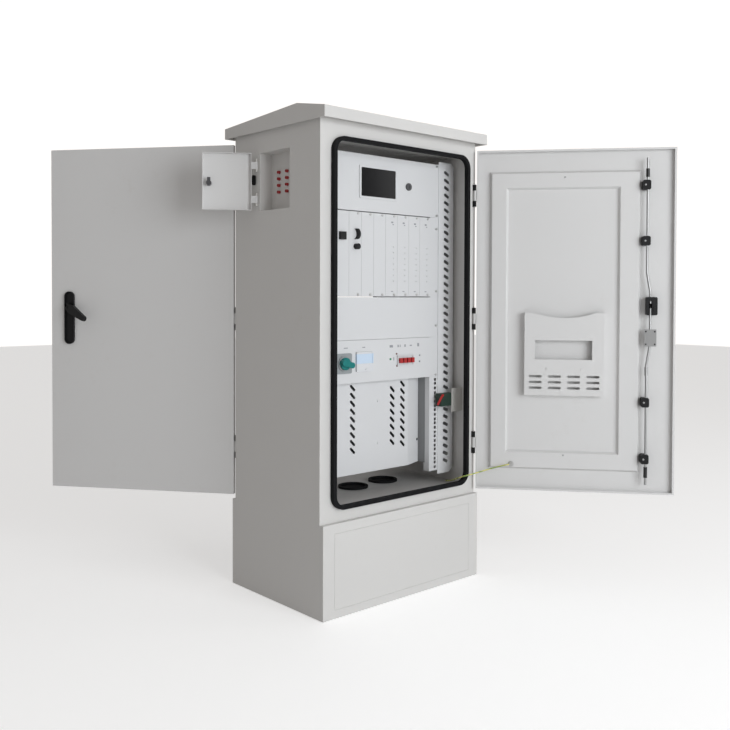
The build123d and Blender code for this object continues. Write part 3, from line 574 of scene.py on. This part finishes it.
# Fittings on the inner side of each door, given as on the closed front door
door_edge = 0.316
guide_line = 0.5475
guide_stud_side = 0.004
guide_seat = -0.206
guide_x = door_edge - guide_line
guide_rows = [(guide_x + guide_stud_side, guide_seat, z) for z in (0.409, 0.594, 1.119, 1.300)]
lock_line = 0.562
plate_screw_side = 0.014
plate_seat = -0.2065
lock_x = door_edge - lock_line
plate_rows = [
    (lock_x + side * plate_screw_side, plate_seat, z) for side in (-1, 1) for z in (0.784, 0.825)
]
pan_line = 0.2885
pan_seat = -0.222
pan_rows = [(door_edge - pan_line, pan_seat, z) for z in (1.330, 0.412)]
for end, place in (("front", front_door_place), ("rear", rear_door_place)):
    door = end + "_door"
    rods = end + "_lower_rod_body"
    studs(end + "_guide_studs", door, stud_grey, guide_rows, 0.0032, 0.002, 1, place)
    studs(end + "_plate_screws", rods, black_plastic, plate_rows, 0.0026, 0.0015, 1, place)
    studs(end + "_pan_studs", door, stud_grey, pan_rows, 0.003, 0.0015, 1, place)

# The plug sits on the baffle's folded end
baffle_fold = (0.127, -0.110, 0)
baffle_angle = math.radians(21.0)
baffle_turn = Matrix.Translation(baffle_fold) @ Matrix.Rotation(baffle_angle, 4, "Z")
studs("baffle_plug", "cabinet", black_plastic, [(0.072, 0.0, 0.453)], 0.0045, 0.002, -1, baffle_turn)


# Floor and light
floor_material, floor_tree, floor_shader = bare_material("studio_floor")
floor_shader.inputs["Base Color"].default_value = (0.9, 0.9, 0.9, 1)
floor_shader.inputs["Roughness"].default_value = 0.7
floor_shader.inputs["Emission Color"].default_value = (1, 1, 1, 1)
floor_rays = floor_tree.nodes.new("ShaderNodeLightPath")
floor_glow = floor_tree.nodes.new("ShaderNodeMath")
floor_glow.operation = "MULTIPLY"
floor_glow.inputs[1].default_value = 0.38
floor_tree.links.new(floor_rays.outputs["Is Camera Ray"], floor_glow.inputs[0])
floor_tree.links.new(floor_glow.outputs["Value"], floor_shader.inputs["Emission Strength"])
floor_reach = 14
floor_drop = 0.0005
floor_corners = [
    (side_x * floor_reach, side_y * floor_reach, -floor_drop)
    for side_x, side_y in ((-1, -1), (1, -1), (1, 1), (-1, 1))
]
studio_floor = mesh_piece("studio_floor", floor_corners, [(0, 1, 2, 3)], False)
studio_floor.data.materials.append(floor_material)

world = bpy.data.worlds.new("studio")
scene.world = world
world.use_nodes = True
sky = world.node_tree.nodes["Background"]
sky.inputs["Color"].default_value = (1.0, 0.97, 0.945, 1)
rays = world.node_tree.nodes.new("ShaderNodeLightPath")
brightness = world.node_tree.nodes.new("ShaderNodeMapRange")
brightness.inputs["To Min"].default_value = 0.38
brightness.inputs["To Max"].default_value = 1.07
world.node_tree.links.new(rays.outputs["Is Camera Ray"], brightness.inputs["Value"])
world.node_tree.links.new(brightness.outputs["Result"], sky.inputs["Strength"])


def area_light(name, place, target, size, power, colour=(1, 1, 1)):
    data = bpy.data.lights.new(name, "AREA")
    data.shape = "RECTANGLE"
    data.size = size[0]
    data.size_y = size[1]
    data.energy = power
    data.color = colour
    lamp = bpy.data.objects.new(name, data)
    scene.collection.objects.link(lamp)
    lamp.location = place
    direction = Vector(target) - Vector(place)
    lamp.rotation_euler = direction.to_track_quat("-Z", "Y").to_euler()
    return lamp


area_light("key", (-0.1, -4.6, 1.5), (0, 0, 0.7), (2.6, 2.4), 114, (0.935, 0.97, 1.0))
area_light("side", (3.6, -3.0, 2.4), (0, 0, 0.8), (1.6, 1.6), 12)

scene.view_settings.view_transform = "Standard"
scene.view_settings.look = "None"
